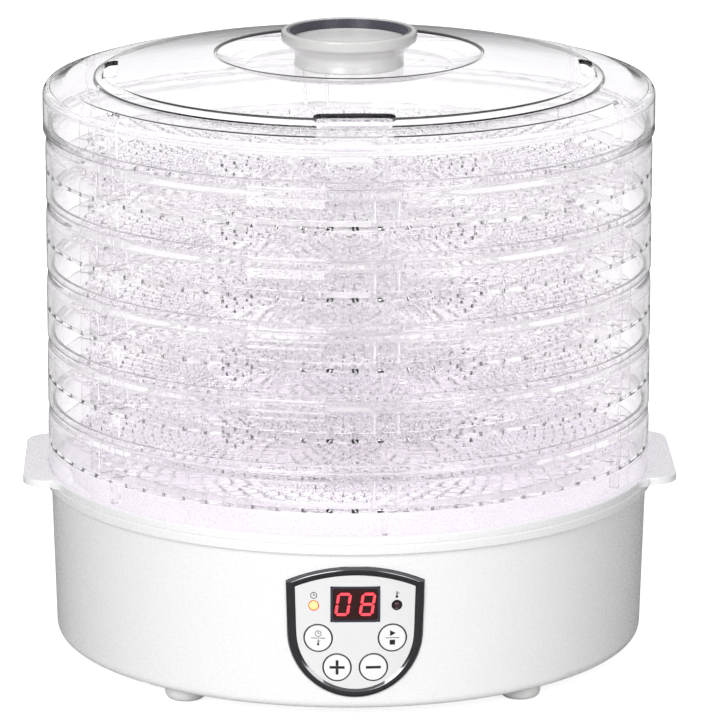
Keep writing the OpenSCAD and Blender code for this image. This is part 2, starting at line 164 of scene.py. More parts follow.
def revolve(bm, outline, angles, shift=(0, 0, 0), reach=None, skip=None):
    """Turns a closed outline of (radius, height) about Z. Points at radius 0 meet on the axis.
    reach(angle) gives how far the points marked with a third value 1 move outwards, and skip is
    the place of a point after which no faces are made."""
    rings = []
    for point in outline:
        on_axis = point[0] < 1e-6
        ring = []
        for angle in ([0.0] if on_axis else angles):
            radius = point[0]
            if reach and len(point) > 2:
                radius += point[2] * reach(angle)
            ring.append(bm.verts.new((shift[0] + radius * math.cos(angle),
                                      shift[1] + radius * math.sin(angle), shift[2] + point[1])))
        rings.append(ring)
    for k, (a, b) in enumerate(zip(rings, rings[1:] + rings[:1])):
        if k != skip:
            join_rings(bm, a, b)


def join_rings(bm, a, b):
    """Faces between two closed rings of vertices, either of which may be one vertex."""
    count = max(len(a), len(b))
    if count == 1:
        return
    for k in range(count):
        quad = [a[k % len(a)], a[(k + 1) % len(a)], b[(k + 1) % len(b)], b[k % len(b)]]
        corners = list(dict.fromkeys(quad))
        if len(corners) > 2:
            bm.faces.new(corners)


def even(count):
    """Evenly spaced angles of a full turn."""
    return [2 * math.pi * k / count for k in range(count)]


def prism(bm, outline, low, high, place=None, edge=0.0):
    """An extruded outline between two heights, with its top and bottom edges chamfered by edge."""
    levels = [(low, 0), (high, 0)]
    if edge:
        levels = [(low, edge), (low + edge, 0), (high - edge, 0), (high, edge)]
    rings = []
    for height, shrink in levels:
        ring = inset(outline, shrink) if shrink else outline
        rings.append([bm.verts.new(Vector((x, y, height))) for x, y in ring])
    for a, b in zip(rings, rings[1:]):
        join_rings(bm, a, b)
    bm.faces.new(rings[0])
    bm.faces.new(rings[-1])
    if place:
        bmesh.ops.transform(bm, matrix=place, verts=[v for ring in rings for v in ring])


def turned(angle, x=0.0, y=0.0, z=0.0):
    """A place at x, y, z in axes turned about Z."""
    return Matrix.Rotation(angle, 4, "Z") @ Matrix.Translation((x, y, z))


def combine(piece, tool, operation):
    """Unites piece with tool, or cuts tool out of it, and removes tool."""
    modifier = piece.modifiers.new("combine", "BOOLEAN")
    modifier.operation = operation
    modifier.solver = "MANIFOLD"
    modifier.object = tool
    made = bake(piece)
    made.shade_smooth()
    made.set_sharp_from_angle(angle=math.radians(SHARP))
    bpy.data.objects.remove(tool)


# ---------- materials ----------

def nodes_of(material):
    """The node tree of a material, emptied, and its output node."""
    material.use_nodes = True
    tree = material.node_tree
    tree.nodes.clear()
    return tree, tree.nodes.new("ShaderNodeOutputMaterial")


def noise(tree, scale, detail=3.0, stretch=(1, 1, 1)):
    """A noise texture in object space, stretched by dividing its scale on each axis."""
    place = tree.nodes.new("ShaderNodeTexCoord")
    mapping = tree.nodes.new("ShaderNodeMapping")
    mapping.inputs["Scale"].default_value = stretch
    texture = tree.nodes.new("ShaderNodeTexNoise")
    texture.inputs["Scale"].default_value = scale
    texture.inputs["Detail"].default_value = detail
    tree.links.new(place.outputs["Object"], mapping.inputs["Vector"])
    tree.links.new(mapping.outputs["Vector"], texture.inputs["Vector"])
    return texture.outputs["Fac"]


def between(tree, factor, low, high):
    """Maps a noise factor of about 0.3 to 0.7 onto a range."""
    remap = tree.nodes.new("ShaderNodeMapRange")
    remap.inputs["From Min"].default_value = 0.3
    remap.inputs["From Max"].default_value = 0.7
    remap.inputs["To Min"].default_value = low
    remap.inputs["To Max"].default_value = high
    tree.links.new(factor, remap.inputs["Value"])
    return remap.outputs["Result"]


def mixed_colour(tree, factor, first, second):
    """A colour between two, by a factor."""
    mix = tree.nodes.new("ShaderNodeMix")
    mix.data_type = "RGBA"
    mix.inputs["A"].default_value = (*first, 1)
    mix.inputs["B"].default_value = (*second, 1)
    tree.links.new(factor, mix.inputs["Factor"])
    return mix.outputs["Result"]


def bumped(tree, shader, height, distance, strength=1.0):
    """Gives a shader the bump of a height texture."""
    bump = tree.nodes.new("ShaderNodeBump")
    bump.inputs["Distance"].default_value = distance
    bump.inputs["Strength"].default_value = strength
    tree.links.new(height, bump.inputs["Height"])
    tree.links.new(bump.outputs["Normal"], shader.inputs["Normal"])


def solid(name, colour, rough, metallic=0.0, grain=700, depth=0.00001, vary=0.04, stretch=(1, 1, 1),
          coat=0.0, glow=None, specular=0.5):
    """A moulded, painted or metal surface: colour and roughness wander a little over a fine grain."""
    material = bpy.data.materials.new(name)
    tree, output = nodes_of(material)
    shader = tree.nodes.new("ShaderNodeBsdfPrincipled")
    shader.inputs["Metallic"].default_value = metallic
    shader.inputs["Coat Weight"].default_value = coat
    shader.inputs["Coat Roughness"].default_value = 0.05
    shader.inputs["Specular IOR Level"].default_value = specular
    broad = noise(tree, 25, stretch=stretch)
    fine = noise(tree, grain, stretch=stretch)
    pale = tuple(min(1.0, c * (1 + vary)) for c in colour)
    deep = tuple(c * (1 - vary) for c in colour)
    tree.links.new(mixed_colour(tree, broad, deep, pale), shader.inputs["Base Color"])
    tree.links.new(between(tree, fine, *rough), shader.inputs["Roughness"])
    bumped(tree, shader, fine, depth)
    if glow:
        shader.inputs["Emission Color"].default_value = (*glow[0], 1)
        shader.inputs["Emission Strength"].default_value = glow[1]
    tree.links.new(shader.outputs["BSDF"], output.inputs["Surface"])
    return material


def clear(name, tint, ior=1.49, rough=0.0):
    """Clear moulded plastic. Lamps see a faintly tinted pane, so what is inside stays lit."""
    material = bpy.data.materials.new(name)
    tree, output = nodes_of(material)
    shader = tree.nodes.new("ShaderNodeBsdfPrincipled")
    shader.inputs["Transmission Weight"].default_value = 1.0
    shader.inputs["IOR"].default_value = ior
    flow = noise(tree, 18)
    deeper = tuple(c * 0.985 for c in tint)
    tree.links.new(mixed_colour(tree, flow, deeper, tint), shader.inputs["Base Color"])
    tree.links.new(between(tree, noise(tree, 60), rough, rough + 0.02), shader.inputs["Roughness"])
    bumped(tree, shader, flow, 0.00008)
    pane = tree.nodes.new("ShaderNodeBsdfTransparent")
    pane.inputs["Color"].default_value = (*tint, 1)
    ray = tree.nodes.new("ShaderNodeLightPath")
    mix = tree.nodes.new("ShaderNodeMixShader")
    tree.links.new(ray.outputs["Is Shadow Ray"], mix.inputs["Fac"])
    tree.links.new(shader.outputs["BSDF"], mix.inputs[1])
    tree.links.new(pane.outputs["BSDF"], mix.inputs[2])
    tree.links.new(mix.outputs["Shader"], output.inputs["Surface"])
    return material


WHITE = (0.86, 0.86, 0.87)

MATERIALS = {
    "white_shell": solid("white_shell", WHITE, (0.24, 0.32), vary=0.01, grain=900, depth=0.000002),
    "white_grille": solid("white_grille", (0.82, 0.82, 0.82), (0.3, 0.4), vary=0.02),
    "duct": solid("duct", (0.6, 0.6, 0.6), (0.35, 0.5)),
    "bracket_steel": solid("bracket_steel", (0.55, 0.56, 0.58), (0.3, 0.45), 1.0, stretch=(1, 6, 1)),
    "laminated_steel": solid("laminated_steel", (0.36, 0.36, 0.38), (0.4, 0.6), 1.0, stretch=(1, 1, 30)),
    "shaft_steel": solid("shaft_steel", (0.62, 0.62, 0.64), (0.15, 0.25), 1.0, stretch=(1, 1, 8)),
    "copper": solid("copper", (0.75, 0.33, 0.15), (0.25, 0.4), 1.0, stretch=(1, 1, 20), depth=0.00006),
    "bronze": solid("bronze", (0.6, 0.4, 0.18), (0.35, 0.5), 1.0),
    "fan_plastic": solid("fan_plastic", (0.07, 0.07, 0.08), (0.4, 0.55)),
    "mica": solid("mica", (0.5, 0.42, 0.28), (0.4, 0.7), grain=220, vary=0.2, depth=0.00004),
    "heater_wire": solid("heater_wire", (0.4, 0.37, 0.35), (0.4, 0.6), 1.0, stretch=(1, 1, 12)),
    "black_plastic": solid("black_plastic", (0.03, 0.03, 0.033), (0.35, 0.5)),
    "circuit_board": solid("circuit_board", (0.03, 0.2, 0.08), (0.3, 0.5), grain=350, vary=0.25, coat=0.4),
    "transformer_core": solid("transformer_core", (0.2, 0.2, 0.21), (0.4, 0.6), 0.8, stretch=(1, 1, 25)),
    "capacitor_sleeve": solid("capacitor_sleeve", (0.05, 0.08, 0.25), (0.25, 0.35)),
    "lead_rubber": solid("lead_rubber", (0.05, 0.05, 0.05), (0.5, 0.65)),
    "ribbon": solid("ribbon", (0.55, 0.55, 0.57), (0.4, 0.5), stretch=(20, 1, 1), vary=0.15),
    "display_lens": solid("display_lens", (0.028, 0.006, 0.006), (0.08, 0.14), vary=0.2, coat=0.5),
    "led_amber": solid("led_amber", (0.95, 0.62, 0.2), (0.2, 0.3), glow=((1.0, 0.62, 0.12), 2.2)),
    "led_dark": solid("led_dark", (0.05, 0.025, 0.03), (0.12, 0.2)),
    # The chrome's colour is darkened to 0.17 to paint in the dark room that it mirrors: painted reflection.
    # Lamps still show in it as bright bands.
    "chrome_trim": solid("chrome_trim", (0.17, 0.17, 0.18), (0.05, 0.09), 1.0,
                         depth=0.000002, vary=0.01),
    "panel_silver": solid("panel_silver", (0.76, 0.76, 0.765), (0.33, 0.42), vary=0.012, grain=1500),
    "button_white": solid("button_white", (0.85, 0.85, 0.86), (0.35, 0.45), vary=0.01, grain=1500),
    "foot_rubber": solid("foot_rubber", (0.74, 0.74, 0.73), (0.5, 0.65), grain=500, depth=0.00003),
    "screw_steel": solid("screw_steel", (0.6, 0.6, 0.62), (0.25, 0.4), 1.0),
    "clear_tray": clear("clear_tray", (0.962, 0.95, 0.964)),
    "clear_lid": clear("clear_lid", (0.972, 0.962, 0.976)),
    # The knob is white plastic. Its colour is greyed to 0.6 as painted shade, so its waisted sides look
    # shaded.
    "knob_white": solid("knob_white", (0.6, 0.6, 0.59), (0.16, 0.22), vary=0.012, grain=900, coat=0.3),
    # The dark ring in the knob's top stands for the shade and dark reflection in its recess: painted shade
    # and painted reflection.
    "knob_dark": solid("knob_dark", (0.055, 0.05, 0.07), (0.25, 0.35)),
}
INK = solid("ink", (0.012, 0.01, 0.012), (0.4, 0.5), grain=1500)
# The knob's disc is the same white plastic, painted brighter (0.97) than the other whites as painted light,
# so the disc looks lit.
CAP_PAINTED_BRIGHT = solid("cap_painted_bright", (0.97, 0.97, 0.97), (0.2, 0.26), vary=0.006, grain=900)
DIGIT_RED = solid("digit_red", (0.9, 0.05, 0.06), (0.3, 0.4), glow=((1.0, 0.03, 0.045), 2.4))
# The ring round the lit LED glows red: the LED's light painted on it as emission, a painted glow.
LED_RING_PAINTED_GLOW = solid("led_ring_painted_glow", (0.75, 0.05, 0.05), (0.2, 0.3), glow=((1.0, 0.06, 0.05), 0.5))
FRAME_BLUE = solid("frame_blue", (0.035, 0.04, 0.06), (0.3, 0.4), grain=1500)


def dress(piece, slot, body, *replaced, material=None):
    """Gives a piece its material, that of its slot unless one is given, lets it ride on its body and hides
    the nodes it stands for.
    """
    piece.data.materials.clear()
    piece.data.materials.append(material or MATERIALS[slot])
    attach(piece, body)
    if replaced:
        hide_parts(*replaced)
    return piece


def dress_nodes():
    """Every carried-over CAD node takes the material of its slot."""
    for part in frame["record"]["subparts"]:
        node = frame["nodes"][part["node"]]
        if not node.material_slots:
            node.data.materials.append(None)
        for place in node.material_slots:
            place.link = "OBJECT"
            place.material = MATERIALS[part["material_slot"]]


# ---------- base ----------

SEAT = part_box("base_deck")[1].z / MM - 4.0
SHELL_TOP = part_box("base_shell")[1].z / MM
SHELL_TOP_R = 160.8
SHELL_LOW_R = 158.4
SHELL_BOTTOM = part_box("base_shell")[0].z / MM
CORNER_R = 5.0
HANDLE_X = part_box("base_deck")[1].x / MM
HANDLE_HALF = 50.0
HANDLE_CORNER = 14.0
RIM_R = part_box("base_deck")[1].y / MM


def shell_radius(height):
    """Radius of the base's outer wall at a height."""
    low = SHELL_BOTTOM + CORNER_R
    return SHELL_LOW_R + (SHELL_TOP_R - SHELL_LOW_R) * (height - low) / (SHELL_TOP - low)


def handle_reach(angle):
    """How far the rim's upper bead is drawn out into a carrying handle at an angle."""
    x, y = abs(math.cos(angle)), abs(math.sin(angle))
    bead = RIM_R - 0.5
    outer = HANDLE_X - 0.1
    centre = Vector((outer - HANDLE_CORNER, HANDLE_HALF - 0.1 - HANDLE_CORNER))
    along = centre.x * x + centre.y * y
    spread = HANDLE_CORNER ** 2 - centre.length_squared + along ** 2
    if y * outer <= centre.y * x:
        radius = outer / x
    elif spread >= 0:
        radius = along + math.sqrt(spread)
    else:
        radius = 0.0
    root = math.asin((HANDLE_HALF + 3.4) / bead)
    fillet = 3.4 * max(0.0, 1 - abs(math.asin(y) - root + 0.012) / 0.05) ** 2
    return max(radius - bead, fillet if math.asin(y) > root - 0.03 else 0.0, 0.0)


def rim_angles():
    """Angles round the rim, closer together where the handles' corners are."""
    fine = [math.radians(10.5 + 0.15 * k) for k in range(70)]
    corners = [s * a + t for a in fine for s in (-1, 1) for t in (0, math.pi)]
    coarse = [a for a in even(240) if min(abs(math.sin(a - c)) for c in corners) > 0.01]
    return sorted(a % (2 * math.pi) for a in corners + coarse)


def make_deck():
    """The top of the base: a basin round a hub, the trays' seat and a two-bead rim drawn out into
    handles. The outline runs out along the underside and back along the top."""
    bm = bmesh.new()
    top = SEAT + 4.0
    bead = RIM_R - 0.5
    hub, low = SEAT + 1.6, SEAT - 12.4
    outer = [(60, low + 2, 0), (72, low + 2, 1), (78.5, low + 4, 2), (142, low + 3.5, 2),
             (147, low + 6.5, 1), (154.4, low + 6.5, 0.5), (154.4, low, 0.5), (157, low, 0.5),
             (157, SHELL_TOP, 0.3), (RIM_R - 0.3, SHELL_TOP, 0.7), (RIM_R, SEAT - 0.6, 1.5),
             (bead - 0.6, SEAT, 0)]
    outline = [(r, z, 0) for r, z in rounded(outer)]
    upper = rounded([(bead - 0.6, SEAT, 0), (bead, SEAT, 1.1), (bead, top - 0.2, 1.9),
                     (163.0, top, 0)], steps=6, closed=False)
    outline += [(r, z, 1 if r > bead - 0.9 else 0.0) for r, z in upper[1:-1]]
    inner = [(163.0, top, 0.5), (162.5, top - 0.7, 0.3), (162.4, SEAT, 0.4), (151, SEAT, 1.6),
             (146.5, hub - 4.5, 3), (141, hub - 7.7, 3), (77.4, hub - 7.2, 2), (76, hub - 2, 1),
             (73, hub, 1), (70, hub, 0.4), (70, hub - 4.5, 0.3), (60, hub - 4.5, 0)]
    outline += [(r, z, 0) for r, z in rounded(inner, closed=False)]
    revolve(bm, outline, rim_angles(), reach=handle_reach)
    return dress(finish_mesh("base_deck_moulding", bm), "white_shell", "base", "base_deck")


# ---------- trays ----------

TRAY_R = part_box("tray_5")[1].x / MM
WALL = 2.0
FLOOR_TOP = 18.0
FLOOR_T = 2.2
LEDGE = 36.9
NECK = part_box("tray_5")[1].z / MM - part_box("tray_5")[0].z / MM
PEGS = 6
PEG_TURN = math.radians(5.7 - 90)
PEG_R = 152.0
RIB_SIDE = 6.2
UPRIGHT = Matrix.Rotation(math.pi / 2, 4, "X")
WALL_SIDES = 288
ZONES = [(148.0, 76.0, 72, 14), (76.0, 32.0, 36, 8), (32.0, 12.0, 18, 4)]
BAR = 1.3


def lattice_cells():
    """The openings of the floor as outlines: rows of diamonds between rings, fewer nearer the middle."""
    cells = []
    for outer, inner, count, rows in ZONES:
        step = 2 * math.pi / count

        def node(row, place):
            """A crossing of the zone's bars, by its ring and its half step round it."""
            radius = inner * (outer / inner) ** (row / rows)
            angle = place * step / 2
            return (radius * math.cos(angle), radius * math.sin(angle))
        outer_is_finer = outer < ZONES[0][0]
        for j in range(count):
            cells.append([node(0, 2 * j + 2), node(0, 2 * j), node(1, 2 * j + 1)])
            edge = [node(rows, 2 * j), node(rows, 2 * j + 1), node(rows, 2 * j + 2)]
            if not outer_is_finer:
                edge.pop(1)
            cells.append(edge + [node(rows - 1, 2 * j + 1)])
            for row in range(1, rows):
                at = 2 * j + (1 if row % 2 == 0 else 0)
                cells.append([node(row - 1, at), node(row, at + 1), node(row + 1, at), node(row, at - 1)])
    return cells


def make_floor(bm):
    """The openwork floor: bars with drafted sides between the cells, a plain band and a small hub."""
    shared = {}

    def vert(point, height):
        """The one vertex at a point, made when first asked for."""
        key = (round(point[0], 2), round(point[1], 2), height)
        if key not in shared:
            shared[key] = bm.verts.new((point[0], point[1], height))
        return shared[key]
    low, high = FLOOR_TOP - FLOOR_T, FLOOR_TOP
    for cell in lattice_cells():
        if area(cell) < 0:
            cell = cell[::-1]
        holes = {low: inset(cell, BAR / 2 + 0.15), high: inset(cell, BAR / 2)}
        if area(holes[low]) < 1.0:
            for height in (low, high):
                bm.faces.new([vert(p, height) for p in cell])
            continue
        rim = {h: [bm.verts.new((x, y, h)) for x, y in holes[h]] for h in (low, high)}
        for height in (low, high):
            join_rings(bm, [vert(p, height) for p in cell], rim[height])
        join_rings(bm, rim[low], rim[high])
    for height in (low, high):
        bm.faces.new([vert(p, height) for p in circle((0, 0), ZONES[-1][1], ZONES[-1][2])])
        outer, inner = circle((0, 0), TRAY_R - WALL, WALL_SIDES), circle((0, 0), ZONES[0][0], ZONES[0][2])
        share = WALL_SIDES // ZONES[0][2]
        for k in range(len(inner)):
            arc = [outer[(k * share + i) % WALL_SIDES] for i in range(share + 1)]
            bm.faces.new([vert(p, height) for p in [inner[k]] + arc + [inner[(k + 1) % len(inner)]]])


def area(points):
    """Signed area of an outline."""
    return sum(a[0] * b[1] - b[0] * a[1] for a, b in zip(points, points[1:] + points[:1])) / 2


def make_fin(bm, angle, top):
    """A peg that hangs into the tray below."""
    near, far, side, corner = PEG_R - 2, PEG_R + 3, 1.5, 0.6
    plan = rounded([(near, -side, corner), (far, -side, corner), (far, side, corner),
                    (near, side, corner)], steps=3)
    prism(bm, plan, 2.0, top + 0.4, Matrix.Rotation(angle, 4, "Z"), edge=0.5)


def make_web(bm, angle, top):
    """The gusset on both sides of a peg's root."""
    stand = turned(angle, PEG_R + 0.5, 0, top) @ Matrix.Rotation(math.pi / 2, 4, "Z") @ UPRIGHT
    prism(bm, [(-6, 0.3), (-1, -7), (1, -7), (6, 0.3)], -0.7, 0.7, stand)


def make_rib_pair(bm, angle, inner, outer, height):
    """The two ribs that a peg drops between, over a range of radius and up to a height."""
    for side in (-RIB_SIDE, RIB_SIDE):
        plan = rounded([(inner, side - 1, 0.5), (outer, side - 1, 0.5), (outer, side + 1, 0.5),
                        (inner, side + 1, 0.5)], steps=3)
        prism(bm, plan, FLOOR_TOP - 0.3, height, Matrix.Rotation(angle, 4, "Z"), edge=0.35)


def make_ribs(bm, angle, top):
    """The ribs beside a peg, deeper in their lower part. They stand on the floor, not at the top."""
    make_rib_pair(bm, angle, 148.6, 157.9, 30.0)


def make_rib_tops(bm, angle, top):
    """Their upper, shallower part."""
    make_rib_pair(bm, angle, 150.6, 156.7, NECK - 0.3)


def add_each(piece, makers, top):
    """Unites a moulding with what each maker builds at the places of the pegs."""
    for maker in makers:
        bm = bmesh.new()
        for angle in peg_angles():
            maker(bm, angle, top)
        combine(piece, finish_mesh("added", bm, settle=False), "UNION")


def peg_angles():
    """Where the pegs stand round the axis."""
    return [PEG_TURN + k * 2 * math.pi / PEGS for k in range(PEGS)]


def make_trays():
    """One moulding shared by the five trays: wall, floor, pegs and ribs."""
    bm = bmesh.new()
    inner = TRAY_R - WALL
    corners = [(inner, 0, 0.6), (TRAY_R, 0, 0.6), (TRAY_R, 28.5, 8), (TRAY_R - 0.7, 34, 8),
               (TRAY_R - 1.1, LEDGE, 0.5), (TRAY_R - 2.4, LEDGE, 0.3), (TRAY_R - 2.4, NECK, 0.6),
               (TRAY_R - 4.4, NECK, 0.6), (TRAY_R - 4.4, 35, 3), (TRAY_R - 2.7, 31.5, 6), (inner, 27, 6)]
    wall = rounded(corners, steps=4)
    revolve(bm, wall + [(inner, FLOOR_TOP), (inner, FLOOR_TOP - FLOOR_T)], even(WALL_SIDES), skip=len(wall))
    make_floor(bm)
    bmesh.ops.remove_doubles(bm, verts=bm.verts, dist=0.001)
    first = finish_mesh("tray_moulding", bm, settle=False)
    add_each(first, [make_ribs, make_rib_tops, make_fin, make_web], FLOOR_TOP - FLOOR_T)
    settle_normals(first)
    for name in TRAYS:
        piece = bpy.data.objects.new(name + "_clear", first.data)
        bpy.context.collection.objects.link(piece)
        piece.location.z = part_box(name)[0].z
        dress(piece, "clear_tray", name, name)
    bpy.data.objects.remove(first)


# ---------- lid ----------

LID_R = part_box("lid")[1].x / MM
LID_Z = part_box("lid")[0].z / MM
DISC_R = 136.0
DISH_R = 72.0
LID_WALL_H = 20.0
STEP_Z = 26.5
KNOB_SEAT_Z = 33.3
DISH_RIM_Z = 40.0
PEG_TOP_Z = 23.9
SCREW_R = 2.2
VENT_R = 126.8
VENT_HALF = 17.5
VENT_W = 7.2


def make_lid():
    """The clear lid: wall, shoulder, raised coned disc with four slots, and a dish for the knob."""
    bm = bmesh.new()
    t = WALL
    outside = [(LID_R - 2.8, 0, 0.5), (LID_R, 0, 0.5), (LID_R, LID_WALL_H, 3),
               (LID_R - 1.6, LID_WALL_H + 2.6, 3), (152, STEP_Z - 0.9, 4),
               (DISC_R, STEP_Z, 0.4), (DISC_R, STEP_Z + 1.1, 0.8), (131, STEP_Z + 4.1, 5),
               (DISH_R, DISH_RIM_Z, 1.0), (DISH_R - 1.2, DISH_RIM_Z - 0.2, 0.8),
               (62.5, KNOB_SEAT_Z + 2.3, 5), (55, KNOB_SEAT_Z, 6), (SCREW_R, KNOB_SEAT_Z, 0.2)]
    inside = [(SCREW_R, KNOB_SEAT_Z - t, 0.2), (55.4, KNOB_SEAT_Z - t, 6), (63.4, KNOB_SEAT_Z + 0.3, 5),
              (DISH_R - 0.6, DISH_RIM_Z - 2.7, 1.2), (130, STEP_Z + 1.7, 5),
              (DISC_R - t, STEP_Z - 0.5, 0.5), (DISC_R - t, STEP_Z - 1.9, 0.5),
              (151.6, STEP_Z - 2.9, 4), (LID_R - 3.6, LID_WALL_H + 0.8, 3),
              (LID_R - 2.2, LID_WALL_H - 2, 3), (LID_R - 2.2, 5, 2)]
    revolve(bm, rounded(outside + inside, steps=5), even(WALL_SIDES))
    lid = finish_mesh("lid_clear", bm, settle=False)
    slots = bmesh.new()
    half_turn = [math.pi * k / 12 for k in range(13)]
    ends = [(VENT_HALF + VENT_W / 2 * math.sin(a), -VENT_W / 2 * math.cos(a)) for a in half_turn]
    plan = ends + [(-x, -y) for x, y in ends]
    for k in range(4):
        prism(slots, plan, 22, 50, turned(k * math.pi / 2, 0, -VENT_R))
    combine(lid, finish_mesh("slots", slots, settle=False), "DIFFERENCE")
    add_each(lid, [make_fin, make_web], PEG_TOP_Z)
    settle_normals(lid)
    lid.location.z = LID_Z * MM
    dress(lid, "clear_lid", "lid", "lid")


KNOB_RECESS = 5.4
KNOB_FLOOR = 8.0


def make_knob():
    """The knob on the lid: a waisted moulding of white plastic greyed as painted shade, with a recess in
    its top, and a white disc painted brighter as painted light. The dark ring in its top is left to its CAD
    node, and its dark colour is painted shade and reflection.
    """
    z0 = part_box("knob")[0].z / MM
    z1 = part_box("knob")[1].z / MM
    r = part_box("knob")[1].x / MM
    bm = bmesh.new()
    lining, neck, stem = r - 5.3, 29, 5
    recess, floor = z1 - KNOB_RECESS, z1 - KNOB_FLOOR
    corners = [(stem, z0, 0.2), (neck + 0.5, z0, 0.4), (neck, z0 + 3, 2), (neck, z1 - 12, 5),
               (r - 3, z1 - 7.8, 4), (r, z1 - 5.6, 1.6), (r, z1, 1.7), (r - 2.9, z1, 0.5),
               (r - 2.9, recess, 0.2), (lining, recess, 0.2), (lining, floor, 0.2),
               (26, floor, 0.4), (26, z0 + 2.4, 0.4), (stem, z0 + 2.4, 0.2)]
    revolve(bm, rounded(corners, steps=6), even(160))
    # The moulding's knob_white colour carries painted shade: white plastic greyed so the waisted sides look
    # shaded.
    dress(finish_mesh("knob_moulding", bm), "knob_white", "lid", "knob")
    bm = bmesh.new()
    disc, face = lining - 0.1, recess - 0.4
    revolve(bm, rounded([(0, face, 0), (0, floor, 0), (disc, floor, 0.2), (disc, face, 0.7)], steps=4),
            even(128))
    revolve(bm, rounded([(4.9, floor, 0), (4.9, z0, 0.3), (1.6, z0, 0.3), (1.6, floor, 0)]), even(32))
    # The disc's white is painted brighter than the knob's plastic: painted light.
    dress(finish_mesh("knob_disc", bm), "knob_white", "lid", "knob_cap", material=CAP_PAINTED_BRIGHT)


# ---------- panel ----------

PANEL_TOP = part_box("bezel")[1].z / MM
PANEL_MID = PANEL_TOP - 35.8
PANEL_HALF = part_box("bezel")[1].x / MM
PANEL_LOW_R = PANEL_HALF - 1
PANEL_CORNER = PANEL_TOP - 8.5
BEZEL_W = 4.5
BEZEL_SUNK = 2.0
DISPLAY = ((0.0, PANEL_TOP - 20.2), (25.6, 19.2))
LED_Z = PANEL_TOP - 21
LED_PLACES = {"led_time": (-21.5, LED_Z), "led_temp": (21.5, LED_Z)}
BUTTON_R = 6.8


def shield():
    """The panel's outline in X and Z, anticlockwise: a round foot, straight sides and an arched top."""
    arch = (PANEL_HALF ** 2 + (PANEL_TOP - PANEL_CORNER) ** 2) / (2 * (PANEL_TOP - PANEL_CORNER))
    foot = [(PANEL_LOW_R * math.cos(a), PANEL_MID + PANEL_LOW_R * math.sin(a))
            for a in [math.radians(-176 + 172 * k / 56) for k in range(57)]]
    sides = [(PANEL_HALF - 0.55, PANEL_MID + 6), (PANEL_HALF - 0.15, PANEL_MID + 14),
             (PANEL_HALF, PANEL_CORNER - 6)]
    half = math.asin(PANEL_HALF / arch)
    top = [(arch * math.sin(a), PANEL_TOP - arch + arch * math.cos(a))
           for a in [half - 2 * half * k / 32 for k in range(33)]]
    return foot + sides + top + [(-x, z) for x, z in sides[::-1]]


def on_wall(x, z, proud):
    """A point on the base's wall, raised by proud along its radius."""
    return Vector((x, -math.sqrt((shell_radius(z) + proud) ** 2 - x * x), z))


def make_bezel():
    """The chrome frame, bright metal whose colour is darkened as a painted dark reflection: a domed strip
    swept round the shield.
    """
    bm = bmesh.new()
    outline = shield()
    section = rounded([(0, -BEZEL_SUNK, 0), (0, 1.1, 0.8), (1.4, 2.2, 1.2), (3.0, 1.9, 1.2),
                       (BEZEL_W, 0.85, 0.3), (BEZEL_W, -BEZEL_SUNK, 0)], steps=4)
    rings = []
    for inward, proud in section:
        rings.append([bm.verts.new(on_wall(x, z, proud)) for x, z in inset(outline, inward)])
    for a, b in zip(rings, rings[1:] + rings[:1]):
        join_rings(bm, a, b)
    dress(finish_mesh("panel_bezel", bm, sharp=28), "chrome_trim", "base", "bezel")


def decal(name, outlines, base, rise, slot, body, material, holes=()):
    """Thin raised pads on the panel, one for each outline in X and Z, from base to base + rise."""
    bm = bmesh.new()
    for k, outline in enumerate(outlines):
        if area(outline) < 0:
            outline = outline[::-1]
        rings = [[bm.verts.new(on_wall(x, z, proud)) for x, z in inset(outline, shrink)]
                 for proud, shrink in ((base, 0), (base + rise * 0.7, 0), (base + rise, 0.05))]
        if k < len(holes) and holes[k]:
            inner = holes[k]
            if area(inner) < 0:
                inner = inner[::-1]
            hole = [[bm.verts.new(on_wall(x, z, proud)) for x, z in inset(inner, shrink)]
                    for proud, shrink in ((base + rise, -0.05), (base + rise * 0.7, 0), (base, 0))]
            rings += hole
            for a, b in zip(rings, rings[1:] + rings[:1]):
                join_rings(bm, a, b)
            continue
        for a, b in zip(rings, rings[1:]):
            join_rings(bm, a, b)
        bm.faces.new(rings[0])
        bm.faces.new(rings[-1])
    return dress(finish_mesh(name, bm), slot, body, material=material)


def bar(a, b, width, round_ends=False):
    """A straight stroke between two points, as an outline."""
    a, b = Vector(a), Vector(b)
    along = (b - a).normalized()
    side = Vector((-along.y, along.x)) * width / 2
    box = [a - side, b - side, b + side, a + side]
    if not round_ends:
        return [tuple(p) for p in box]
    return rounded([(p.x, p.y, width / 2.05) for p in box], steps=4)


def ring(centre, outer, width, count=64):
    """Outline and hole of a ring."""
    return circle(centre, outer, count), circle(centre, outer - width, count)


def seven_segment(centre, digit, height=12.4, width=7.4, stroke=1.35, slant=0.15):
    """The lit strokes of one digit, leaning to the right."""
    h, w, s = height / 2 - stroke / 2, width / 2 - stroke / 2, stroke / 2
    gap = 0.25
    strokes = {
        "a": ((-w, h), (w, h)), "g": ((-w, 0), (w, 0)), "d": ((-w, -h), (w, -h)),
        "f": ((-w, 0), (-w, h)), "b": ((w, 0), (w, h)), "e": ((-w, -h), (-w, 0)), "c": ((w, -h), (w, 0)),
    }
    lit = {"0": "abcdef", "8": "abcdefg"}[digit]
    shapes = []
    for key in lit:
        (x0, y0), (x1, y1) = strokes[key]
        a, b = Vector((x0, y0)), Vector((x1, y1))
        along = (b - a).normalized()
        side = Vector((-along.y, along.x)) * s
        a, b = a + along * gap, b - along * gap
        near, far = a + along * s, b - along * s
        points = [a, near - side, far - side, b, far + side, near + side]
        shapes.append([(centre[0] + p.x + slant * p.y, centre[1] + p.y) for p in points])
    return shapes


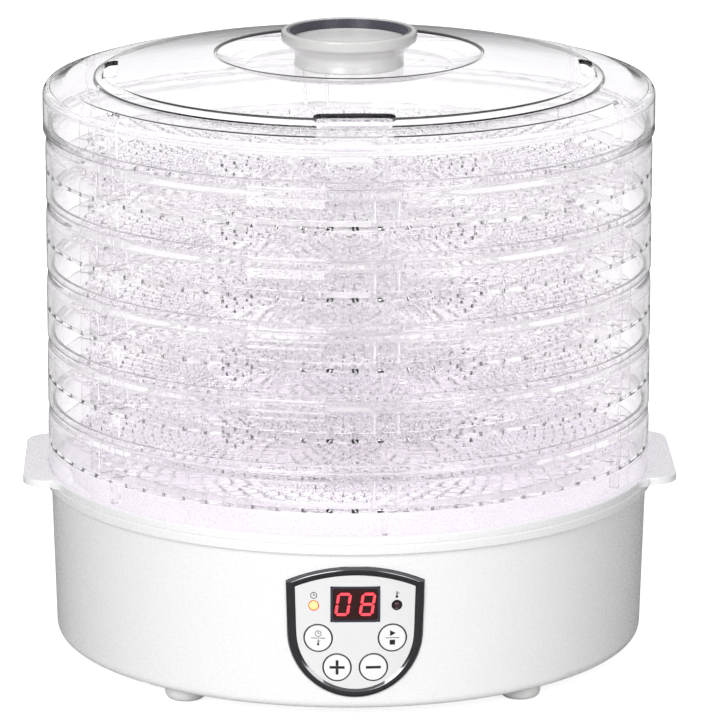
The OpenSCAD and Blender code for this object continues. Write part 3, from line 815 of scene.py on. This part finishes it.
def clock_icon(centre, size):
    """A small clock face: a ring and two hands."""
    outer, inner = ring(centre, size, size * 0.2, 32)
    hands = [bar(centre, (centre[0], centre[1] + size * 0.6), size * 0.2),
             bar(centre, (centre[0] + size * 0.45, centre[1]), size * 0.2)]
    return [outer] + hands, [inner, None, None]


def thermometer_icon(centre, size):
    """A small thermometer: a bulb, a stem and two marks of its scale."""
    x, z = centre
    return [circle((x, z - size * 0.62), size * 0.4, 24),
            bar((x, z - size * 0.5), (x, z + size), size * 0.34, True),
            bar((x + size * 0.35, z + size * 0.65), (x + size * 0.7, z + size * 0.65), size * 0.16),
            bar((x + size * 0.35, z + size * 0.2), (x + size * 0.7, z + size * 0.2), size * 0.16)]


SIGN_HALF = 3.9
SIGN_W = 1.45


def button_icons():
    """What is printed on each button: outlines and holes about the button's middle."""
    divider = bar((-3.6, 0), (3.6, 0), 0.4)
    clock, clock_holes = clock_icon((0, 2.4), 1.7)
    thermometer = thermometer_icon((0, -2.4), 1.6)
    play = [(-1.2, 0.9), (1.8, 2.5), (-1.2, 4.1)]
    stop = [(-1.4, -3.8), (1.4, -3.8), (1.4, -1.1), (-1.4, -1.1)]
    minus = bar((-SIGN_HALF, 0), (SIGN_HALF, 0), SIGN_W)
    return {
        "button_mode": ([divider] + clock + thermometer, [None] + clock_holes),
        "button_start": ([divider, play, stop], []),
        "button_plus": ([minus, bar((0, SIGN_W / 2), (0, SIGN_HALF), SIGN_W),
                         bar((0, -SIGN_HALF), (0, -SIGN_W / 2), SIGN_W)], []),
        "button_minus": ([minus], []),
    }


def shifted(outline, by):
    """An outline moved by an offset in X and Z. Where there is none, it stays none."""
    return outline and [(x + by[0], z + by[1]) for x, z in outline]


def button_centre(name):
    """The middle of a button in X and Z."""
    low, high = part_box(name)
    return ((low.x + high.x) / 2 / MM, (low.z + high.z) / 2 / MM)


def make_panel():
    """Everything on the panel that the CAD leaves plain."""
    make_bezel()
    (cx, cz), (w, h) = DISPLAY
    x, z, corner = w / 2 + 0.1, h / 2 + 0.1, 2.6
    outer = rounded([(cx + i * x, cz + k * z, corner) for i, k in ((-1, -1), (1, -1), (1, 1), (-1, 1))],
                    steps=8)
    decal("display_frame", [outer], 0.5, 0.7, "black_plastic", "base", FRAME_BLUE, [inset(outer, 1.25)])
    digits = seven_segment((cx - 6.3, cz), "0") + seven_segment((cx + 6.3, cz), "8")
    decal("display_digits", digits, 0.7, 0.22, "display_lens", "base", DIGIT_RED)
    for name, place in LED_PLACES.items():
        ring_outer, ring_inner = ring(place, 2.8, 0.65, 40)
        # The lit LED's ring carries a painted glow; the other LED's ring is plain ink.
        ink = LED_RING_PAINTED_GLOW if name == "led_time" else INK
        decal(name + "_ring", [ring_outer], 0.8, 0.25, "black_plastic", "base", ink, [ring_inner])
    clock, clock_holes = clock_icon((LED_PLACES["led_time"][0], LED_Z + 5.4), 1.8)
    decal("icon_time", clock, 0.85, 0.13, "black_plastic", "base", INK, clock_holes)
    thermometer = thermometer_icon((LED_PLACES["led_temp"][0], LED_Z + 5.7), 1.8)
    decal("icon_temp", thermometer, 0.85, 0.13, "black_plastic", "base", INK)
    icons = button_icons()
    for name in BUTTONS:
        centre = button_centre(name)
        outer, inner = ring(centre, BUTTON_R + 0.85, 0.5)
        decal(name + "_outline", [outer], 0.85, 0.13, "black_plastic", "base", INK, [inner])
        outlines, holes = icons[name]
        decal(name + "_icon", [shifted(o, centre) for o in outlines], 1.05, 0.22, "black_plastic", name,
              INK, [shifted(o, centre) for o in holes])


def make_feet():
    """Four round feet with soft edges, on their stems."""
    for k in range(1, 5):
        node = "foot_%d" % k
        low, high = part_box(node)
        middle = (low + high) / 2 / MM
        r = (high.x - low.x) / 2 / MM
        head = high.z / MM - 0.1
        bm = bmesh.new()
        outline = rounded([(0, 0, 0), (r - 0.3, 0, 4.2), (r, SHELL_BOTTOM, 0.4), (4, SHELL_BOTTOM, 0.2),
                           (4, head, 0.4), (0, head, 0)], steps=8)
        revolve(bm, outline, even(72), shift=(middle.x, middle.y, 0))
        dress(finish_mesh(node + "_pad", bm), "foot_rubber", "base", node)


# ---------- studio ----------

FILL_FRONT = 0.5
FILL_SIDE = 0.12
MIRROR_LOW = 0.2
MIRROR_HIGH = 0.7
MIRROR_BEHIND = 0.7
BEHIND = 1.0
BESIDE = 0.68
FLOOR_WHITE = 0.7
FLOOR_MIRRORED = 0.22
FLOOR_NEAR = 0.8
FLOOR_FAR = 0.95
LAMPS = {    # place, height on the axis that it aims at, size and power
    "key": ((-0.9, -2.0, 1.0), 0.12, (1.2, 1.2), 31),
    "fill": ((1.2, -2.0, 1.0), 0.12, (1.0, 1.2), 14),
    "top": ((0, 0.2, 2.2), 0.2, (2.0, 2.0), 15),
}


def mapped(tree, value, low, high, start, end):
    """A value's range mapped smoothly onto another."""
    remap = tree.nodes.new("ShaderNodeMapRange")
    remap.interpolation_type = "SMOOTHSTEP"
    for key, number in (("From Min", low), ("From Max", high), ("To Min", start), ("To Max", end)):
        remap.inputs[key].default_value = number
    tree.links.new(value, remap.inputs["Value"])
    return remap.outputs["Result"]


def by_ray(tree, flags, otherwise):
    """A value that differs by the kind of ray. Later flags win over earlier ones."""
    ray = tree.nodes.new("ShaderNodeLightPath")
    for flag, when in flags:
        mix = tree.nodes.new("ShaderNodeMix")
        tree.links.new(ray.outputs[flag], mix.inputs["Factor"])
        for source, key in ((otherwise, "A"), (when, "B")):
            if isinstance(source, float):
                mix.inputs[key].default_value = source
            else:
                tree.links.new(source, mix.inputs[key])
        otherwise = mix.outputs["Result"]
    return otherwise


def make_floor_stage():
    """A wide pale floor that stays white into the distance, keeps a soft shadow at the feet and
    is darker where glossy surfaces mirror it."""
    mesh = bpy.data.meshes.new("floor")
    reach = 30.0
    corners = [(-reach, -reach, 0), (reach, -reach, 0), (reach, reach, 0), (-reach, reach, 0)]
    mesh.from_pydata(corners, [], [(0, 1, 2, 3)])
    floor = bpy.data.objects.new("floor", mesh)
    bpy.context.collection.objects.link(floor)
    paint = solid("floor_paint", (FLOOR_WHITE, FLOOR_WHITE, FLOOR_WHITE), (0.7, 0.85),
                  vary=0.004, grain=80, specular=0.1)
    tree = paint.node_tree
    shader = next(node for node in tree.nodes if node.type == "BSDF_PRINCIPLED")
    place = tree.nodes.new("ShaderNodeTexCoord")
    span = tree.nodes.new("ShaderNodeVectorMath")
    span.operation = "LENGTH"
    tree.links.new(place.outputs["Object"], span.inputs[0])
    lift = mapped(tree, span.outputs["Value"], 0.15, 1.0, FLOOR_NEAR, FLOOR_FAR)
    tree.links.new(by_ray(tree, [("Is Camera Ray", lift), ("Is Transmission Ray", lift)], 0.0),
                   shader.inputs["Emission Strength"])
    shader.inputs["Emission Color"].default_value = (1, 1, 1, 1)
    paint.cycles.emission_sampling = "NONE"
    colour = shader.inputs["Base Color"].links[0].from_socket
    shade = tree.nodes.new("ShaderNodeMix")
    shade.data_type = "RGBA"
    shade.inputs["B"].default_value = (FLOOR_MIRRORED, FLOOR_MIRRORED, FLOOR_MIRRORED, 1)
    mirrored = by_ray(tree, [("Is Glossy Ray", 1.0), ("Is Transmission Ray", 0.0)], 0.0)
    tree.links.new(mirrored, shade.inputs["Factor"])
    tree.links.new(colour, shade.inputs["A"])
    tree.links.new(shade.outputs["Result"], shader.inputs["Base Color"])
    floor.data.materials.append(paint)


def area_light(name, place, aim, size, power):
    """A soft box that faces a height on the object's axis."""
    data = bpy.data.lights.new(name, "AREA")
    data.shape = "RECTANGLE"
    data.size, data.size_y = size
    data.energy = power
    light = bpy.data.objects.new(name, data)
    bpy.context.collection.objects.link(light)
    light.location = place
    light.rotation_euler = (Vector((0, 0, aim)) - Vector(place)).to_track_quat("-Z", "Y").to_euler()


def make_world():
    """A white backdrop all round. What lights the object is dimmer at its sides, what glossy
    surfaces mirror in front is darker still, and what clear plastic bends sideways is a little darker."""
    world = bpy.data.worlds.new("studio")
    bpy.context.scene.world = world
    world.use_nodes = True
    tree = world.node_tree
    back = tree.nodes["Background"]
    back.inputs["Color"].default_value = (1, 1, 1, 1)
    place = tree.nodes.new("ShaderNodeTexCoord")
    axes = tree.nodes.new("ShaderNodeSeparateXYZ")
    tree.links.new(place.outputs["Generated"], axes.inputs["Vector"])
    front = mapped(tree, axes.outputs["Y"], -0.8, 0.0, FILL_FRONT, FILL_SIDE)
    mirror = tree.nodes.new("ShaderNodeMix")
    behind = tree.nodes.new("ShaderNodeMath")
    behind.operation = "MULTIPLY"
    tree.links.new(mapped(tree, axes.outputs["Y"], 0.1, 0.5, 0.0, 1.0), behind.inputs[0])
    tree.links.new(mapped(tree, axes.outputs["Z"], 0.02, 0.15, 0.0, 1.0), behind.inputs[1])
    tree.links.new(behind.outputs["Value"], mirror.inputs["Factor"])
    tree.links.new(mapped(tree, axes.outputs["Z"], 0.1, 0.5, MIRROR_LOW, MIRROR_HIGH), mirror.inputs["A"])
    mirror.inputs["B"].default_value = MIRROR_BEHIND
    through = mapped(tree, axes.outputs["Y"], -0.2, 0.6, BESIDE, BEHIND)
    strength = by_ray(tree, [("Is Diffuse Ray", front), ("Is Glossy Ray", mirror.outputs["Result"]),
                             ("Is Transmission Ray", through)], 1.0)
    tree.links.new(strength, back.inputs["Strength"])


def make_studio():
    """Floor, backdrop and lamps, and how the renderer shows them."""
    make_floor_stage()
    make_world()
    for name, lamp in LAMPS.items():
        area_light(name, *lamp)
    scene = bpy.context.scene
    scene.view_settings.view_transform = "Standard"
    scene.cycles.max_bounces = 40
    scene.cycles.transmission_bounces = 36
    scene.cycles.transparent_max_bounces = 40
    scene.cycles.glossy_bounces = 8
    scene.cycles.diffuse_bounces = 4
    scene.cycles.use_denoising = True


make_camera()
dress_nodes()
make_deck()
make_trays()
make_lid()
make_knob()
make_panel()
make_feet()
make_studio()
